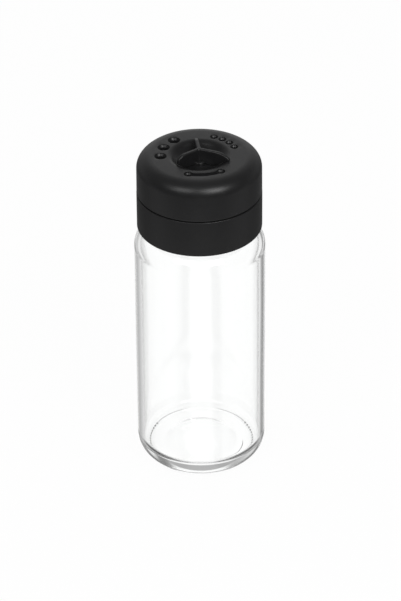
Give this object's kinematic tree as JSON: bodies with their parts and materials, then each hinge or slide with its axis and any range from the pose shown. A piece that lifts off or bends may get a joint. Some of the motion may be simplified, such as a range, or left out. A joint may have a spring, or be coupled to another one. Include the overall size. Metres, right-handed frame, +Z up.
{
  "type": "spice shaker",
  "caption": "Clear glass shaker jar with a black screw-on dispenser cap whose winged knob turns a shutter under small holes, large holes and a pouring slot.",
  "frame": {"origin": "centre of the base, on the axis of the jar, where the bearing ring stands", "axes": "+Z up along the jar's axis; -Y faces the viewer's side with the pouring slot, +X to the right, small holes at +X +Y"},
  "size_m": [0.046, 0.046, 0.1249],
  "materials": {
    "glass": "clear, polished",
    "liner_foam": "matte foam",
    "collar_plastic": "satin black polypropylene",
    "cap_plastic": "satin black polypropylene",
    "seal_silicone": "soft black silicone",
    "shutter_plastic": "satin black polypropylene",
    "knob_plastic": "satin black polypropylene",
    "clip_steel": "bright stainless steel"
  },
  "bodies": {
    "jar": {"glass_jar": "glass"},
    "liner": {"jar_liner": "liner_foam"},
    "cap": {"screw_collar": "collar_plastic", "dispenser_cap": "cap_plastic"},
    "selector": {"selector_knob": "knob_plastic", "shutter_disc": "shutter_plastic", "shutter_seal": "seal_silicone", "retainer_clip": "clip_steel"}
  },
  "joints": [
    {"name": "cap_lift", "type": "slide", "parent": "jar", "child": "liner", "axis": [0, 0, 1], "range_m": [0, 0.0041]},
    {"name": "cap_unscrew", "type": "hinge", "parent": "liner", "child": "cap", "pos_m": [0, 0, 0.0969], "axis": [0, 0, 1], "range_deg": [0, 360]},
    {"name": "selector_turn", "type": "hinge", "parent": "cap", "child": "selector", "pos_m": [0, 0, 0.1195], "axis": [0, 0, 1], "continuous": true}
  ],
  "couplings": [
    {"joint": "cap_lift", "follows": "cap_unscrew", "m_per_rad": 0.00063662}
  ]
}
